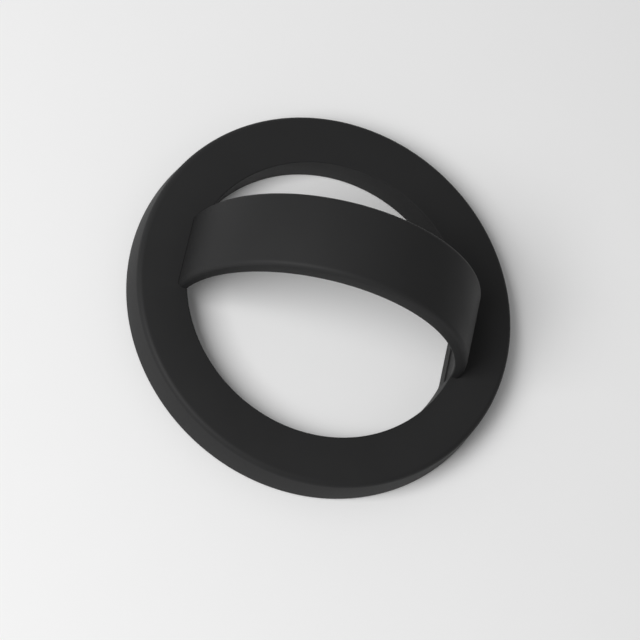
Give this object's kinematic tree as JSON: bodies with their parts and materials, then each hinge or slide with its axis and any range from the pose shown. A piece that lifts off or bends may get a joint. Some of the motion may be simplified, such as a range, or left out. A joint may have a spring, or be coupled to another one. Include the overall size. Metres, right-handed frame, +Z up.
{
  "type": "phone loop grip",
  "caption": "Flat soft ring that holds to the back of a phone by magnets, with a wide soft strap arching over its open middle as a finger loop.",
  "frame": {"origin": "centre of the ring on its resting face", "axes": "+Z up out of the ring through the strap's crown, +X along the strap from foot to foot"},
  "size_m": [0.06, 0.06, 0.0269],
  "materials": {
    "soft_shell": "soft matte",
    "soft_strap": "soft matte",
    "soft_pad": "fine matte",
    "steel": "cold rolled",
    "plated_magnet": "nickel plate"
  },
  "bodies": {
    "root": {"ring_shell": "soft_shell", "loop_strap": "soft_strap", "shield_ring": "steel", "base_pad": "soft_pad", "magnet_01": "plated_magnet", "magnet_02": "plated_magnet", "magnet_03": "plated_magnet", "magnet_04": "plated_magnet", "magnet_05": "plated_magnet", "magnet_06": "plated_magnet", "magnet_07": "plated_magnet", "magnet_08": "plated_magnet", "magnet_09": "plated_magnet", "magnet_10": "plated_magnet", "magnet_11": "plated_magnet", "magnet_12": "plated_magnet", "magnet_13": "plated_magnet", "magnet_14": "plated_magnet", "magnet_15": "plated_magnet", "magnet_16": "plated_magnet"}
  },
  "joints": []
}
